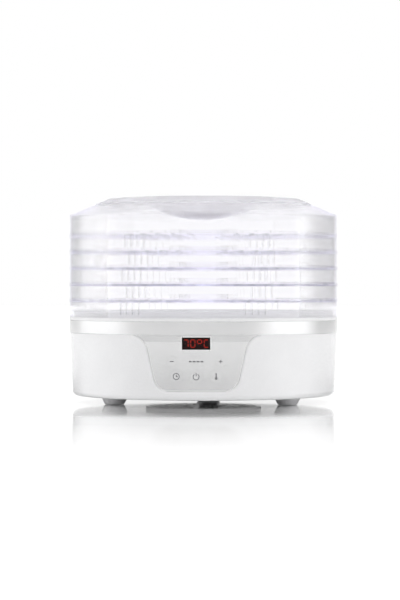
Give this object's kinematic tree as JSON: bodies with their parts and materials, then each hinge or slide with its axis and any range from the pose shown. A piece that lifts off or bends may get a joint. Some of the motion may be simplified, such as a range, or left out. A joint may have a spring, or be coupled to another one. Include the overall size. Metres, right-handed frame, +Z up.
{
  "type": "round stackable tray dehydrator with electronic controls",
  "caption": "Round electric tray dehydrator: white fan-heater base with a satin control panel, clear stackable trays and a clear domed lid.",
  "frame": {"origin": "on the floor under the centre of the base", "axes": "+Z up along the stack, -Y towards the control panel, +X to the right seen from the front"},
  "size_m": [0.325, 0.325, 0.245],
  "materials": {
    "clear_plastic": "smooth clear injection-moulded tray plastic",
    "clear_plastic_lid": "clear lid plastic, frosted on the dome",
    "white_abs": "white gloss ABS",
    "satin_silver": "satin silver lacquer on plastic",
    "smoked_lens": "smoked display lens",
    "dark_plastic": "black electronic component plastic",
    "circuit_board": "green solder-resist board",
    "zinc_steel": "zinc-plated steel",
    "galvanised_steel": "galvanised sheet steel",
    "dark_metal": "varnished laminated steel",
    "grey_plastic": "glass-filled fan plastic",
    "grey_rubber": "white moulded elastomer",
    "mica": "mica sheet",
    "heater_wire": "oxidised resistance wire coil",
    "ceramic_white": "ceramic fuse body"
  },
  "bodies": {
    "base": {"base_housing": "white_abs", "trim_fascia": "satin_silver", "upper_deck": "white_abs", "outlet_grille": "white_abs", "bottom_plate": "white_abs", "cord_bushing": "grey_rubber", "display_window": "smoked_lens", "display_module": "dark_plastic", "control_board": "circuit_board", "board_mount": "white_abs", "tact_switches": "dark_plastic", "control_board_screws": "zinc_steel", "power_board": "circuit_board", "power_board_screws": "zinc_steel", "transformer": "dark_metal", "relay": "dark_plastic", "capacitors": "dark_plastic", "motor_bracket": "galvanised_steel", "fan_motor": "galvanised_steel", "air_duct": "galvanised_steel", "heater_frame": "mica", "heater_coils": "heater_wire", "thermostat": "dark_plastic", "thermal_fuse": "ceramic_white", "foot_screws": "zinc_steel", "case_screws": "zinc_steel", "bracket_screws": "zinc_steel", "foot_front_left": "white_abs", "foot_front_right": "white_abs", "foot_back": "white_abs"},
    "fan": {"motor_shaft": "zinc_steel", "fan_impeller": "grey_plastic"},
    "lid": {"lid": "clear_plastic_lid"},
    "tray_1": {"tray_1": "clear_plastic"},
    "tray_2": {"tray_2": "clear_plastic"},
    "tray_3": {"tray_3": "clear_plastic"},
    "tray_4": {"tray_4": "clear_plastic"},
    "tray_5": {"tray_5": "clear_plastic"},
    "key_minus": {"key_minus": "satin_silver"},
    "key_plus": {"key_plus": "satin_silver"},
    "key_timer": {"key_timer": "satin_silver"},
    "key_power": {"key_power": "satin_silver"},
    "key_temperature": {"key_temperature": "satin_silver"}
  },
  "joints": [
    {"name": "tray_5_lift", "type": "slide", "parent": "base", "child": "tray_5", "axis": [0, 0, 1], "range_m": [0, 0.03]},
    {"name": "tray_4_lift", "type": "slide", "parent": "tray_5", "child": "tray_4", "axis": [0, 0, 1], "range_m": [0, 0.03]},
    {"name": "tray_3_lift", "type": "slide", "parent": "tray_4", "child": "tray_3", "axis": [0, 0, 1], "range_m": [0, 0.03]},
    {"name": "tray_2_lift", "type": "slide", "parent": "tray_3", "child": "tray_2", "axis": [0, 0, 1], "range_m": [0, 0.03]},
    {"name": "tray_1_lift", "type": "slide", "parent": "tray_2", "child": "tray_1", "axis": [0, 0, 1], "range_m": [0, 0.03]},
    {"name": "lid_lift", "type": "slide", "parent": "tray_1", "child": "lid", "axis": [0, 0, 1], "range_m": [0, 0.04]},
    {"name": "fan_spin", "type": "hinge", "parent": "base", "child": "fan", "pos_m": [0, 0, 0.063], "axis": [0, 0, 1], "continuous": true},
    {"name": "key_minus_press", "type": "slide", "parent": "base", "child": "key_minus", "axis": [0, 1, 0], "range_m": [0, 0.0005], "stiffness_N_per_m": 400, "springref_m": -0.0002},
    {"name": "key_plus_press", "type": "slide", "parent": "base", "child": "key_plus", "axis": [0, 1, 0], "range_m": [0, 0.0005], "stiffness_N_per_m": 400, "springref_m": -0.0002},
    {"name": "key_timer_press", "type": "slide", "parent": "base", "child": "key_timer", "axis": [0, 1, 0], "range_m": [0, 0.0005], "stiffness_N_per_m": 400, "springref_m": -0.0002},
    {"name": "key_power_press", "type": "slide", "parent": "base", "child": "key_power", "axis": [0, 1, 0], "range_m": [0, 0.0005], "stiffness_N_per_m": 400, "springref_m": -0.0002},
    {"name": "key_temperature_press", "type": "slide", "parent": "base", "child": "key_temperature", "axis": [0, 1, 0], "range_m": [0, 0.0005], "stiffness_N_per_m": 400, "springref_m": -0.0002}
  ]
}
